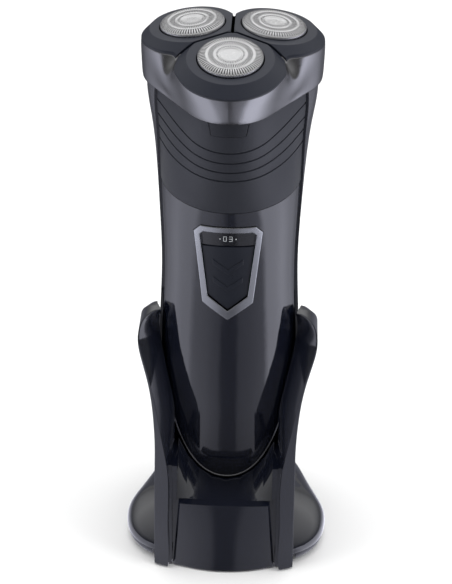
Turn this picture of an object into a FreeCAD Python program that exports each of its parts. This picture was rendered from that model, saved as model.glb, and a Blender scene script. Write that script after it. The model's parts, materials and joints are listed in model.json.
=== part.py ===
"""Three-head rotary shaver standing in its charging stand.

Frame: millimetres, +Z up, -Y towards the front of the shaver. The origin is on the surface that the
stand's feet rest on, straight below the shaver's axis. The shaver's front shell, head and switch face -Y.
Each function builds one sub-part or one small family of them, and NODES at the end names every node.
"""
import FreeCAD
import Part
import math
import os

# ---------------------------------------------------------------- driving dimensions
HEAD_SPLIT_Z = 186.2       # plane where the shaving unit meets the handle
HANDLE_TOP_Z = 185.7
FOIL_CIRCLE_R = 16.25      # the three foils sit on this circle
PAD_Z = 204.9              # height of the pad planes at the foil centres
FOIL_TILT_DEG = 7.5        # each pad leans outwards
FOIL_R = 11.3
FOIL_HOLE_R = 11.65
SPINDLE_CIRCLE_R = 14.5    # drive spindles, where the tilted cutter axes pass the couplings
SEAM_Y = -2.0              # plane between the front and rear shells
SEAM_GAP = 0.2
WALL = 1.7                 # moulded wall of the handle
FRONT_STEP = 0.9           # the front shell sits this far inside the rear shell's edge
GRIP_EDGE_Z = 147.4        # lower edge of the soft grip at the middle
HINGE_Y, HINGE_Z = 26.0, 186.6
HINGE_PIN_R = 0.9
RUN_GAP = 0.05             # radial clearance of a running fit
GEAR_MODULE = 0.5
SUN_TEETH, GEAR_TEETH = 24, 34
GEAR_Z, GEAR_H = 176.0, 3.0
MOTOR_R, MOTOR_Z0, MOTOR_Z1 = 12.0, 140.0, 172.0
BASE_SEAM_Z = 4.6          # joint between the stand's housing and its bottom cover
FOOT_H = 0.8
PANEL_TOP_Z = 28.8         # top edge of the stand's front panel
CUP_FLOOR_Z = 25.6
CRADLE_GAP = 0.7           # clearance between the shaver and the cradle
PAD_GROOVE = 0.55          # half width of the grooves between the pads
SECTION_POINTS = 36

AXES = [math.radians(a) for a in (0, 120, 240)]          # pads: front, then the two at the back
PAD_NAMES = ("front", "right", "left")


def vec(x, y, z=0.0):
    return FreeCAD.Vector(x, y, z)


def around(angle, radius):
    """Point in plan at an angle counted from the front, positive towards +X."""
    return radius * math.sin(angle), -radius * math.cos(angle)


def table_at(table, z, column):
    """Smooth interpolation of one column of a (z, ...) table, by cubic Hermite curves between the rows."""
    rows = sorted(table)
    zs = [r[0] for r in rows]
    vs = [r[column] for r in rows]
    if z <= zs[0]:
        return vs[0]
    if z >= zs[-1]:
        return vs[-1]
    i = max(k for k in range(len(zs)) if zs[k] <= z)
    i = min(i, len(zs) - 2)

    def slope(k):
        if k in (0, len(zs) - 1):
            return 0.0
        return (vs[k + 1] - vs[k - 1]) / (zs[k + 1] - zs[k - 1])

    h = zs[i + 1] - zs[i]
    t = (z - zs[i]) / h
    a, b = slope(i) * h, slope(i + 1) * h
    return ((2 * t**3 - 3 * t**2 + 1) * vs[i] + (t**3 - 2 * t**2 + t) * a
            + (-2 * t**3 + 3 * t**2) * vs[i + 1] + (t**3 - t**2) * b)


# ---------------------------------------------------------------- small shape helpers
def closed_spline(points):
    curve = Part.BSplineCurve()
    curve.interpolate(points, PeriodicFlag=True)
    return Part.Wire(curve.toShape())


def loft(wires, ruled=False):
    return Part.makeLoft(wires, True, ruled)


def polygon_wire(points):
    return Part.makePolygon(list(points) + [points[0]])


def prism_y(outline, y0, y1):
    """Solid between two planes of constant y, from an outline of (x, z) pairs."""
    face = Part.Face(polygon_wire([vec(x, y0, z) for x, z in outline]))
    return face.extrude(vec(0, y1 - y0, 0))


def prism_x(outline, x0, x1):
    face = Part.Face(polygon_wire([vec(x0, y, z) for y, z in outline]))
    return face.extrude(vec(x1 - x0, 0, 0))


def prism_z(outline, z0, z1):
    face = Part.Face(polygon_wire([vec(x, y, z0) for x, y in outline]))
    return face.extrude(vec(0, 0, z1 - z0))


def box(x0, x1, y0, y1, z0, z1):
    return Part.makeBox(x1 - x0, y1 - y0, z1 - z0, vec(x0, y0, z0))


def rod(radius, start, end):
    along = end - start
    return Part.makeCylinder(radius, along.Length, start, along)


def ring(outer, inner, z0, z1, x=0.0, y=0.0):
    return rod(outer, vec(x, y, z0), vec(x, y, z1)).cut(rod(inner, vec(x, y, z0 - 1), vec(x, y, z1 + 1)))


def turned(profile):
    """Solid of revolution about Z of a closed outline of (radius, z) pairs."""
    face = Part.Face(polygon_wire([vec(r, 0, z) for r, z in profile]))
    return face.revolve(vec(0, 0, 0), vec(0, 0, 1), 360)


def fuse(shapes):
    shapes = list(shapes)
    return shapes[0].multiFuse(shapes[1:]).removeSplitter() if len(shapes) > 1 else shapes[0]


def group(shapes):
    return Part.makeCompound(list(shapes))


def mirror_pair(shape):
    return group([shape, shape.mirror(vec(0, 0, 0), vec(1, 0, 0))])


# ---------------------------------------------------------------- outlines in plan
def hull_radius(angle, circles):
    """Polar radius of the taut outline round three circles of (x, y, radius)."""
    dx, dy = math.sin(angle), -math.cos(angle)
    best = union_radius(angle, circles)
    for i, (ax, ay, ar) in enumerate(circles):
        bx, by, br = circles[(i + 1) % 3]
        length = math.hypot(bx - ax, by - ay)
        ux, uy = (bx - ax) / length, (by - ay) / length
        nx, ny = uy, -ux
        lean = (ar - br) / length
        flat = math.sqrt(1 - lean * lean)
        tx, ty = nx * flat + ux * lean, ny * flat + uy * lean
        reach = ax * tx + ay * ty + ar
        facing = dx * tx + dy * ty
        if facing <= 1e-6:
            continue
        r = reach / facing
        along = (dx * r - ax - tx * ar) * ux + (dy * r - ay - ty * ar) * uy
        if -1e-6 <= along <= length + 1e-6:
            best = max(best, r)
    return best


def union_radius(angle, circles):
    dx, dy = math.sin(angle), -math.cos(angle)
    best = 0.0
    for cx, cy, r in circles:
        along = cx * dx + cy * dy
        off = cx * cx + cy * cy - along * along
        if off < r * r:
            best = max(best, along + math.sqrt(r * r - off))
    return best


def pad_circles(front_y, front_r, back_r):
    """Front, right and left circles that the head's outline wraps."""
    found = [(0.0, front_y, front_r)]
    for angle in AXES[1:]:
        x, y = around(angle, FOIL_CIRCLE_R)
        found.append((x, y, back_r))
    return found


HEAD_FOOT = pad_circles(-12.0, 16.5, 16.3)
# z, half width, front depth, back depth, share of the head's outline
HANDLE = [
    (22.0, 24.8, 14.0, 15.0, 0.0),
    (45.0, 25.2, 17.0, 18.0, 0.0),
    (65.0, 25.4, 18.6, 19.6, 0.0),
    (82.0, 25.4, 19.6, 20.4, 0.0),
    (100.0, 24.8, 19.8, 20.7, 0.0),
    (117.0, 24.4, 20.2, 20.9, 0.0),
    (137.0, 25.0, 21.4, 21.2, 0.05),
    (153.0, 25.4, 23.0, 21.9, 0.25),
    (170.0, 25.6, 25.6, 23.0, 0.65),
    (186.0, 26.0, 28.0, 23.9, 1.0),
]
HANDLE_ROUNDNESS = 2.25


def handle_radius(angle, z, grow):
    w, front, back, share = (table_at(HANDLE, z, k) for k in (1, 2, 3, 4))
    dx, dy = abs(math.sin(angle)), -math.cos(angle)
    depth = front if dy < 0 else back
    n = HANDLE_ROUNDNESS
    oval = ((dx / w) ** n + (abs(dy) / depth) ** n) ** (-1 / n)
    crown = hull_radius(angle, HEAD_FOOT) - 0.5
    return oval * (1 - share) + crown * share + grow


def plan_section(radius_at, z):
    points = []
    for k in range(SECTION_POINTS):
        angle = 2 * math.pi * k / SECTION_POINTS
        x, y = around(angle, radius_at(angle))
        points.append(vec(x, y, z))
    return closed_spline(points)


def handle_solid(grow, z0=22.0, z1=186.0):
    """The handle's outer form, grown or shrunk all round, between two heights."""
    stations = [z0] + [row[0] for row in HANDLE if z0 + 4 < row[0] < z1 - 4] + [z1]
    wires = []
    for z in stations:
        wires.append(plan_section(lambda a, z=z: handle_radius(a, z, grow), z))
    return loft(wires)


U_CENTRE_Z = 73.5


def u_prism(half_width, drop, top=200.0):
    """Everything above a U-shaped lower edge, seen from the front: half an ellipse under straight sides."""
    count = 24
    points = []
    for k in range(count + 1):
        t = math.pi * k / count
        points.append(vec(-half_width * math.cos(t), -60, U_CENTRE_Z - drop * math.sin(t)))
    curve = Part.BSplineCurve()
    curve.interpolate(points, InitialTangent=vec(0, 0, -1), FinalTangent=vec(0, 0, 1))
    rest = Part.makePolygon([points[-1], vec(60, -60, U_CENTRE_Z), vec(60, -60, top),
                             vec(-60, -60, top), vec(-60, -60, U_CENTRE_Z), points[0]])
    return Part.Face(Part.Wire([curve.toShape()] + rest.Edges)).extrude(vec(0, 120, 0))


def arc_band(mid_z, rise, thickness, reach=32.0, at_x=24.0):
    """A sagging strip seen from the front, thickness tall, rising by `rise` at x = at_x on both sides."""
    lower, upper = [], []
    count = 16
    for k in range(count + 1):
        x = -reach + 2 * reach * k / count
        z = mid_z + rise * (x / at_x) ** 2
        lower.append(vec(x, -60, z))
        upper.append(vec(x, -60, z + thickness))
    low, high = Part.BSplineCurve(), Part.BSplineCurve()
    low.interpolate(lower)
    high.interpolate(upper)
    sides = [Part.makeLine(lower[-1], upper[-1]), Part.makeLine(upper[0], lower[0])]
    wire = Part.Wire([low.toShape(), sides[0], high.toShape(), sides[1]])
    return Part.Face(wire).extrude(vec(0, 60, 0))


# ---------------------------------------------------------------- handle shells
U_FRONT = (22.6, 44.3)
U_REAR = (24.4, 46.6)
GRIP_SAG = 2.4
SWITCH_OUTER = [(-9.8, 141.0), (-12.2, 138.2), (-9.1, 108.2), (0, 101.0), (9.1, 108.2), (12.2, 138.2), (9.8, 141.0)]
SWITCH_INNER = [(-8.7, 138.7), (-10.1, 137.2), (-7.2, 111.0), (0, 104.8), (7.2, 111.0), (10.1, 137.2), (8.7, 138.7)]
LENS_Z = 132.2
TAB_HALF, TAB_Z0 = 6.9, 180.6      # release tab: half width at the top, lower edge
TAB_TAPER, TAB_GAP = 0.19, 0.2
BAY = (12.9, 147.5, 177.0)        # trimmer window: half width, bottom, top
# middle height and rise towards the sides of each sagging groove in the grip
GRIP_GROOVES = ((173.4, 6.2), (169.2, 5.0), (165.2, 4.4), (161.4, 3.4))
GROOVE_WIDTH, GROOVE_DEPTH = 0.7, 0.28


def handle_inside():
    """The space inside both shells."""
    return handle_solid(-FRONT_STEP - WALL).common(u_prism(U_FRONT[0] - WALL, U_FRONT[1] - WALL))


def front_form(grow=0.0):
    form = handle_solid(grow - FRONT_STEP)
    return form.common(box(-40, 40, -60, SEAM_Y, 0, HANDLE_TOP_Z))


def shrink(outline, amount):
    """Outline moved inwards by a fixed distance along its corners' bisectors."""
    count = len(outline)
    moved = []
    for i in range(count):
        (ax, az), (bx, bz), (cx, cz) = outline[i - 1], outline[i], outline[(i + 1) % count]
        l1, l2 = math.hypot(bx - ax, bz - az), math.hypot(cx - bx, cz - bz)
        n1 = ((bz - az) / l1, -(bx - ax) / l1)
        n2 = ((cz - bz) / l2, -(cx - bx) / l2)
        mx, mz = n1[0] + n2[0], n1[1] + n2[1]
        scale = 2 * amount / (mx * mx + mz * mz)
        moved.append((bx - mx * scale, bz - mz * scale))
    area = sum(p[0] * q[1] - q[0] * p[1] for p, q in zip(outline, outline[1:] + outline[:1]))
    if area < 0:
        return shrink(outline[::-1], amount)
    return moved


def front_shell_blank():
    return front_form().common(u_prism(*U_FRONT)).cut(HANDLE_INSIDE)


def front_shell():
    """Glossy front cover below the grip, open for the switch."""
    blank = front_shell_blank()
    below = arc_band(GRIP_EDGE_Z - 130.0 - SEAM_GAP, GRIP_SAG, 130.0)
    shell = blank.common(below).cut(prism_y(SWITCH_OUTER, -60, 0))
    for x, z in SHELL_SCREWS:
        post = rod(2.6, vec(x, -14.0, z), vec(x, 1.9, z))
        shell = shell.fuse(post).cut(rod(1.0, vec(x, -6.5, z), vec(x, 5, z)))
    return shell.cut(CONTACT_RECESS)


def grip():
    """Soft-touch cover of the front's upper half, with four sagging grooves and a notch for the release tab."""
    blank = front_shell_blank()
    upper = arc_band(GRIP_EDGE_Z, GRIP_SAG, 60.0)
    cover = blank.common(upper)
    skin = front_form(0.5).cut(handle_solid(-FRONT_STEP - GROOVE_DEPTH))
    for mid_z, rise in GRIP_GROOVES:
        cover = cover.cut(arc_band(mid_z, rise, GROOVE_WIDTH).common(skin))
    return cover.cut(prism_y(tab_outline(TAB_GAP, 190.0), -60, 0))


def tab_outline(gap, top_z):
    """Outline of the release tab, or of its notch when grown by a gap, seen from the front."""
    low_z = TAB_Z0 - gap
    low, high = (TAB_HALF - TAB_TAPER * (HANDLE_TOP_Z - z) + gap for z in (low_z, top_z))
    return [(-high, top_z), (-low, low_z), (low, low_z), (high, top_z)]


def hinge_lug(x0, x1, radius, bore):
    lug = rod(radius, vec(x0, HINGE_Y, HINGE_Z), vec(x1, HINGE_Y, HINGE_Z))
    return lug, rod(bore, vec(x0 - 1, HINGE_Y, HINGE_Z), vec(x1 + 1, HINGE_Y, HINGE_Z))


def rear_shell():
    """Matt rear cover, standing a little proud of the front one at the sides, with the head hinge's outer lugs."""
    form = handle_solid(0.0).common(box(-40, 40, SEAM_Y + SEAM_GAP, 60, 0, HANDLE_TOP_Z))
    shell = form.common(u_prism(*U_REAR)).cut(HANDLE_INSIDE)
    half, low, high = BAY
    shell = shell.cut(box(-half, half, 5, 60, low, high))
    shell = shell.cut(box(-3.2, 3.2, 5, 60, 131.0, 145.0))
    for side in (-1, 1):
        x0, x1 = sorted((side * 4.3, side * 8.0))
        lug, bore = hinge_lug(x0, x1, 2.0, HINGE_PIN_R)
        web = prism_x([(20.5, 178.5), (23.0, 178.5), (28.0, 186.2), (24.4, HANDLE_TOP_Z), (20.5, HANDLE_TOP_Z)], x0, x1)
        shell = shell.fuse(lug).fuse(web).cut(bore)
    clearance = rod(2.5, vec(-4.3, HINGE_Y, HINGE_Z), vec(4.3, HINGE_Y, HINGE_Z))
    shell = shell.cut(clearance)
    for x, z in SHELL_SCREWS:
        shell = shell.fuse(rod(3.0, vec(x, 2, z), vec(x, rear_y(x, z) - 2.0, z)))
        shell = shell.cut(rod(1.9, vec(x, rear_y(x, z) - 2.6, z), vec(x, 60, z)))
        shell = shell.cut(rod(1.0, vec(x, 0, z), vec(x, 60, z)))
    return shell.cut(CONTACT_RECESS).cut(trimmer_pin()).removeSplitter()


def rear_y(x, z):
    """Depth of the handle's back surface at a point of the rear view."""
    w, back = table_at(HANDLE, z, 1), table_at(HANDLE, z, 3)
    return back * (1 - abs(x / w) ** HANDLE_ROUNDNESS) ** (1 / HANDLE_ROUNDNESS)


SHELL_SCREWS = ((-13.0, 62.0), (13.0, 62.0))
CONTACT_RECESS = box(-3.6, 3.6, -4.1, 4.1, 0, 31.5)


def shell_screws():
    screws = []
    for x, z in SHELL_SCREWS:
        seat = rear_y(x, z) - 2.6
        head = rod(1.7, vec(x, seat, z), vec(x, seat + 1.2, z))
        cross = box(x - 0.2, x + 0.2, seat + 0.6, seat + 2, z - 1.1, z + 1.1)
        cross = cross.fuse(box(x - 1.1, x + 1.1, seat + 0.6, seat + 2, z - 0.2, z + 0.2))
        screws.append(head.fuse(rod(0.95, vec(x, -6.0, z), vec(x, seat, z))).cut(cross))
    return group(screws)


# ---------------------------------------------------------------- switch
def follow_front(outline, out, inward):
    """A curved plate that follows the front surface, `out` above it and `inward` below it, inside an outline."""
    plate = front_form(out).cut(handle_solid(-FRONT_STEP - inward))
    return plate.common(prism_y(outline, -60, -6))


def switch_bezel():
    return follow_front(shrink(SWITCH_OUTER, 0.1), 0.45, 1.6).cut(prism_y(SWITCH_INNER, -60, 0))


def clip_outline(outline, low, high):
    """Part of a shield outline between two heights, as a convex polygon."""
    count = len(outline)
    kept = []
    for i in range(count):
        (ax, az), (bx, bz) = outline[i], outline[(i + 1) % count]
        if low <= az <= high:
            kept.append((ax, az))
        crossings = []
        for level in (low, high):
            if (az - level) * (bz - level) < 0:
                t = (level - az) / (bz - az)
                crossings.append((t, (ax + t * (bx - ax), level)))
        kept.extend(p for _, p in sorted(crossings))
    return kept


def display_lens():
    outline = clip_outline(shrink(SWITCH_INNER, 0.05), LENS_Z + 0.1, 200)
    return follow_front(outline, -0.75, 1.9)


def power_button():
    outline = clip_outline(shrink(SWITCH_INNER, 0.35), 0, LENS_Z - 0.15)
    button = follow_front(outline, -0.35, 1.9)
    for tip_z, half, rise in ((120.2, 5.4, 4.4), (112.8, 5.2, 4.2)):
        arms = [(0, tip_z), (half, tip_z + rise), (half, tip_z + rise + 2.0), (0, tip_z + 2.0),
                (-half, tip_z + rise + 2.0), (-half, tip_z + rise)]
        button = button.fuse(follow_front(arms, -0.1, 0.5))
    stem = rod(1.6, vec(0, -17.5, 118.0), vec(0, -16.25, 118.0))
    return button.fuse(stem).removeSplitter()


def release_button():
    """Tab under the front of the head: pressing it lets the shaving unit swing open."""
    return follow_front(tab_outline(0.0, HANDLE_TOP_Z - 0.1), 0.25, 1.5)


# ---------------------------------------------------------------- inside the handle
def circuit_board():
    board = box(-9.5, 9.5, -14.6, -13.4, 98.0, 142.0)
    return board.cut(rod(1.1, vec(6.5, -20, 101), vec(6.5, 0, 101)))


def board_parts():
    chips = [box(-3, 3, -15.8, -14.6, 103, 108), box(-8, -5, -15.4, -14.6, 124, 128), box(4.5, 8, -15.6, -14.6, 122, 127)]
    return group(chips)


def tact_switch():
    return box(-3.0, 3.0, -15.7, -14.6, 115.0, 121.0)


def display_module():
    return box(-7.5, 7.5, -16.6, -14.6, 132.6, 138.0)


def battery():
    x, y = 0.0, 4.0
    cell = rod(7.0, vec(x, y, 46.0), vec(x, y, 95.0))
    return cell.fuse(rod(2.6, vec(x, y, 95.0), vec(x, y, 96.2)))


def battery_tabs():
    return group([box(-2.5, 2.5, 1.5, 6.5, 96.2, 96.5), box(-2.5, 2.5, 1.5, 6.5, 45.7, 46.0)])


def motor():
    """Flat-sided steel can, hollow for the magnets and the armature."""
    can = rod(MOTOR_R, vec(0, 0, MOTOR_Z0), vec(0, 0, MOTOR_Z1)).common(box(-20, 20, -10.2, 10.2, 0, 200))
    room = rod(MOTOR_R - 0.8, vec(0, 0, MOTOR_Z0 - 1), vec(0, 0, MOTOR_Z1 - 1.2))
    room = room.common(box(-20, 20, -9.4, 9.4, 0, 200))
    boss = rod(3.0, vec(0, 0, MOTOR_Z1 - 1.2), vec(0, 0, MOTOR_Z1 + 1.5))
    return can.cut(room).fuse(boss).removeSplitter().cut(rod(1.0 + RUN_GAP, vec(0, 0, MOTOR_Z1 - 5), vec(0, 0, MOTOR_Z1 + 5)))


def motor_magnets():
    shell = ring(MOTOR_R - 0.85, 9.1, MOTOR_Z0 + 3, MOTOR_Z1 - 3)
    return group([shell.common(box(*x_range, -7.5, 7.5, 0, 200)) for x_range in ((-20, -3), (3, 20))])


def motor_armature():
    """Wound core: a drum with three winding slots, on the motor's shaft."""
    core = rod(8.5, vec(0, 0, MOTOR_Z0 + 4), vec(0, 0, MOTOR_Z1 - 4))
    for angle in AXES:
        x, y = around(angle, 8.5)
        core = core.cut(rod(2.2, vec(x, y, MOTOR_Z0), vec(x, y, MOTOR_Z1)))
    return core.cut(rod(1.0, vec(0, 0, MOTOR_Z0), vec(0, 0, MOTOR_Z1)))


def motor_end_cap():
    cap = rod(MOTOR_R - 0.6, vec(0, 0, MOTOR_Z0 - 2.2), vec(0, 0, MOTOR_Z0))
    return cap.common(box(-20, 20, -9.8, 9.8, 0, 200)).cut(rod(1.0 + RUN_GAP, vec(0, 0, 100), vec(0, 0, 200)))


def motor_terminals():
    return group([box(x - 1.2, x + 1.2, -0.3, 0.3, MOTOR_Z0 - 6.0, MOTOR_Z0 - 2.2) for x in (-7.0, 7.0)])


def chassis():
    """Inner frame: battery cradle, motor ring and the posts that carry the gear plate."""
    cradle = ring(8.2, 7.1, 44.0, 98.0, 0, 4.0).cut(box(-20, 20, -20, 2.0, 50, 90))
    foot = rod(8.2, vec(0, 4, 43.0), vec(0, 4, 45.7))
    shelf = prism_z([(-12, -6), (12, -6), (12, 10), (-12, 10)], 98.0, 100.0).cut(rod(5, vec(0, 4, 90), vec(0, 4, 110)))
    posts = [box(x - 1.4, x + 1.4, -3, 3, 98.0, 172.0) for x in (-14.0, 14.0)]
    bands = [ring(14.6, MOTOR_R + 0.05, z, z + 3.0) for z in (142.0, 160.0)]
    bands = [b.common(box(-20, 20, -12.6, 12.4, 0, 200)) for b in bands]
    sill = box(-15.4, 15.4, -3, 3, 98.0, 100.0).cut(rod(5, vec(0, 4, 90), vec(0, 4, 110)))
    return fuse([cradle, foot, shelf, sill] + posts + bands)


def gear_plate():
    """Plate under the gears, with the three axle seats and the motor's boss hole."""
    plate = handle_solid(-FRONT_STEP - WALL - 0.6).common(box(-40, 40, -40, 12.4, 172.0, 174.4))
    plate = plate.cut(rod(3.4, vec(0, 0, 160), vec(0, 0, 190)))
    for angle in AXES:
        x, y = around(angle, SPINDLE_CIRCLE_R)
        plate = plate.cut(rod(1.2 + RUN_GAP, vec(x, y, 160), vec(x, y, 190)))
    return plate


def gear_cover():
    """Deck that closes the handle's top: the three spindles stand out of it."""
    deck = handle_solid(-FRONT_STEP - WALL - 0.15).common(box(-40, 40, -40, 40, 180.6, 183.0))
    lip = deck.copy()
    for angle in AXES:
        x, y = around(angle, SPINDLE_CIRCLE_R)
        lip = lip.fuse(rod(4.2, vec(x, y, 180.6), vec(x, y, 184.4)))
    for angle in AXES:
        x, y = around(angle, SPINDLE_CIRCLE_R)
        lip = lip.cut(rod(2.0 + RUN_GAP, vec(x, y, 170), vec(x, y, 190)))
    lip = lip.cut(box(-8.3, 8.3, 20.2, 40, 170, 190))
    return lip.cut(box(-7.2, 7.2, -40, -23.0, 170, 190))


def gear_disc(teeth, height, bore, phase):
    """Spur gear with straight-flanked teeth, cut a little thin so that it runs with backlash."""
    pitch_r = GEAR_MODULE * teeth / 2
    root_r, tip_r = pitch_r - 1.25 * GEAR_MODULE, pitch_r + 0.9 * GEAR_MODULE
    step = 2 * math.pi / teeth
    points = []
    for k in range(teeth):
        middle = phase + k * step
        for radius, share in ((root_r, -0.36), (pitch_r, -0.21), (tip_r, -0.09), (tip_r, 0.09), (pitch_r, 0.21), (root_r, 0.36)):
            x, y = around(middle + share * step, radius)
            points.append((x, y))
    return prism_z(points, 0, height).cut(rod(bore, vec(0, 0, -1), vec(0, 0, height + 1)))


def sun_gear():
    gear = gear_disc(SUN_TEETH, GEAR_H + 1.0, 1.0, 0.0)
    return gear.translated(vec(0, 0, GEAR_Z - 0.5))


def motor_shaft():
    return rod(1.0, vec(0, 0, MOTOR_Z0 - 1.8), vec(0, 0, GEAR_Z + GEAR_H + 1.0))


def drive_gear(angle):
    """A gear at one spindle, turned so that its gap faces the sun gear's tooth."""
    sun_step = 2 * math.pi / SUN_TEETH
    offset = (angle / sun_step) % 1.0
    step = 2 * math.pi / GEAR_TEETH
    phase = angle + math.pi + step * (0.5 + offset)
    gear = gear_disc(GEAR_TEETH, GEAR_H, 2.0, phase)
    x, y = around(angle, SPINDLE_CIRCLE_R)
    return gear.translated(vec(x, y, GEAR_Z))


def drive_spindle(angle):
    """Stepped shaft through the gear, ending in a flat blade that drives the cutter."""
    x, y = around(angle, SPINDLE_CIRCLE_R)
    shaft = rod(2.0, vec(0, 0, GEAR_Z), vec(0, 0, 186.0)).fuse(rod(1.2, vec(0, 0, 172.0), vec(0, 0, GEAR_Z)))
    shaft = shaft.fuse(rod(1.5, vec(0, 0, 186.0), vec(0, 0, COUPLING_Z - 3.0)))
    blade = box(-1.1, 1.1, -0.5, 0.5, COUPLING_Z - 3.2, COUPLING_Z + 0.4)
    spindle = shaft.fuse(blade).removeSplitter()
    spindle.rotate(vec(0, 0, 0), vec(0, 0, 1), math.degrees(angle))
    return spindle.translated(vec(x, y, 0))


# ---------------------------------------------------------------- shaving unit
COUPLING_Z = PAD_Z - (FOIL_CIRCLE_R - SPINDLE_CIRCLE_R) / math.tan(math.radians(FOIL_TILT_DEG))
# z, front circle's y and radius, back circles' radius, how far the outline dips between the pads
CROWN = [
    (HEAD_SPLIT_Z, -12.0, 16.8, 17.3, 0.0),
    (190.0, -13.6, 17.3, 17.6, 0.0),
    (195.0, -15.2, 18.0, 17.8, 0.12),
    (199.0, -16.0, 18.5, 17.8, 0.55),
    (203.0, -16.25, 18.6, 17.4, 0.92),
    (209.0, -16.25, 18.4, 17.0, 1.0),
]


def crown_solid(grow, z0=HEAD_SPLIT_Z, z1=209.0):
    wires = []
    for z in [z0] + [row[0] for row in CROWN if z0 + 0.5 < row[0] < z1 - 0.5] + [z1]:
        y, front_r, back_r, dip = (table_at(CROWN, z, k) for k in (1, 2, 3, 4))
        circles = pad_circles(y, front_r, back_r)

        def radius(angle, circles=circles, dip=dip):
            return hull_radius(angle, circles) * (1 - dip) + union_radius(angle, circles) * dip + grow

        wires.append(plan_section(radius, z))
    return loft(wires)


def pad_frame(shape, angle):
    """Places something built about Z at the origin onto a pad: tilted outwards, at the foil's centre."""
    x, y = around(angle, FOIL_CIRCLE_R)
    placed = shape.copy()
    placed.rotate(vec(0, 0, 0), vec(1, 0, 0), FOIL_TILT_DEG)
    placed.rotate(vec(0, 0, 0), vec(0, 0, 1), math.degrees(angle))
    placed.translate(vec(x, y, PAD_Z))
    return placed


HINGE_TOP_Z = 190.8
BEVEL_R, BEVEL_SLOPE = 15.0, 0.9


def pad_cone(angle, lowered=0.0):
    """The pad's flat top and the bevel round it, as one blunt cone."""
    drop = 16.0
    cone = Part.makeCone(BEVEL_R + drop / BEVEL_SLOPE, BEVEL_R, drop, vec(0, 0, -drop - lowered))
    tail = rod(BEVEL_R + drop / BEVEL_SLOPE, vec(0, 0, -30), vec(0, 0, -drop - lowered + 0.001))
    return pad_frame(cone.fuse(tail), angle)


def pad_sector(angle, gap):
    """A 120 degree wedge in plan round one pad, `gap` short of its neighbours on each side."""
    reach = 60.0
    inset = gap / math.sin(math.radians(60))
    cx, cy = around(angle, inset)
    left, right = around(angle - math.radians(60), reach), around(angle + math.radians(60), reach)
    tip = around(angle, reach * 1.6)
    outline = [(cx, cy), (cx + left[0], cy + left[1]), (cx + tip[0], cy + tip[1]), (cx + right[0], cy + right[1])]
    return prism_z(outline, 150, 230)


def head_pad(angle):
    """One black pad: flat top, bevelled edge that laps over the trim, and the hole for its foil."""
    pad = CROWN_FULL.common(pad_sector(angle, PAD_GROOVE)).common(pad_cone(angle))
    trim_room = CROWN_BAND.common(pad_cone(angle, 0.75))
    under = pad_frame(rod(40, vec(0, 0, -30), vec(0, 0, -3.0)), angle).common(CROWN_INSET)
    hole = pad_frame(rod(FOIL_HOLE_R, vec(0, 0, -10), vec(0, 0, 5)), angle)
    return biggest(pad.cut(trim_room).cut(under).cut(hole))


def biggest(shape):
    return max(shape.Solids, key=lambda s: s.Volume)


def head_trim():
    """Dark chrome band round the head, its top edge dipping under each pad."""
    trim = CROWN_BAND
    for angle in AXES:
        trim = trim.cut(pad_sector(angle, 0).cut(pad_cone(angle, 0.8)))
    return biggest(trim.cut(box(-8.6, 8.6, 18, 60, 180, HINGE_TOP_Z)))


def head_base():
    """Black cup of the shaving unit: hair chamber floor, wall, and the hinge's middle lug."""
    outer = crown_solid(-1.6).common(box(-60, 60, -60, 60, HEAD_SPLIT_Z, 198.6))
    hollow = crown_solid(-3.2).common(box(-60, 60, -60, 60, HEAD_SPLIT_Z + 1.8, 220))
    cup = outer.cut(hollow)
    for angle in AXES:
        x, y = around(angle, SPINDLE_CIRCLE_R)
        cup = cup.fuse(rod(5.4, vec(x, y, HEAD_SPLIT_Z), vec(x, y, HEAD_SPLIT_Z + 3.4)))
    for angle in AXES:
        x, y = around(angle, SPINDLE_CIRCLE_R)
        cup = cup.cut(rod(4.3, vec(x, y, 180), vec(x, y, 195)))
    lug, bore = hinge_lug(-4.1, 4.1, 2.2, HINGE_PIN_R + RUN_GAP)
    web = box(-4.1, 4.1, 20.5, HINGE_Y, HEAD_SPLIT_Z, HINGE_Z + 2.2)
    cup = cup.cut(box(-8.6, 8.6, 22.6, 60, 180, HINGE_TOP_Z)).fuse(lug).fuse(web).cut(bore)
    return cup.removeSplitter()


def head_hinge_pin():
    return rod(HINGE_PIN_R, vec(-8.0, HINGE_Y, HINGE_Z), vec(8.0, HINGE_Y, HINGE_Z))


def retaining_frame():
    """Plate under the pads that holds the cutters in: three rings on a hub."""
    z = 197.6
    rings = []
    for angle in AXES:
        x, y = around(angle, 15.4)
        rings.append(ring(11.0, 8.6, z, z + 1.2, x, y))
    hub = rod(5.2, vec(0, 0, z), vec(0, 0, z + 1.2))
    frame = fuse(rings + [hub])
    return frame.cut(rod(2.0, vec(0, 0, z - 1), vec(0, 0, z + 5)))


def lock_knob():
    knob = rod(3.8, vec(0, 0, 193.6), vec(0, 0, 197.4)).fuse(rod(1.9, vec(0, 0, 190), vec(0, 0, 198.8)))
    grip_bar = box(-3.4, 3.4, -0.7, 0.7, 191.4, 193.6)
    return fuse([knob, grip_bar])


FOIL_PROFILE = [
    (11.3, -1.7), (11.3, 0.5), (11.1, 1.0), (10.7, 1.4), (10.1, 1.7), (9.3, 1.85), (8.7, 1.85), (8.3, 1.6),
    (7.9, 1.6), (7.5, 1.85), (6.0, 1.9), (5.6, 1.7), (5.2, 1.7), (4.9, 1.9), (4.2, 1.9), (3.8, 1.6), (0.0, 1.6),
    (0.0, 1.1), (3.6, 1.1), (4.6, 1.3), (8.9, 1.2), (9.9, 1.1), (10.6, 0.6), (10.8, -1.7),
]


def foil(angle):
    return pad_frame(turned(FOIL_PROFILE), angle)


CUTTER_BLADES = 12


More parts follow.
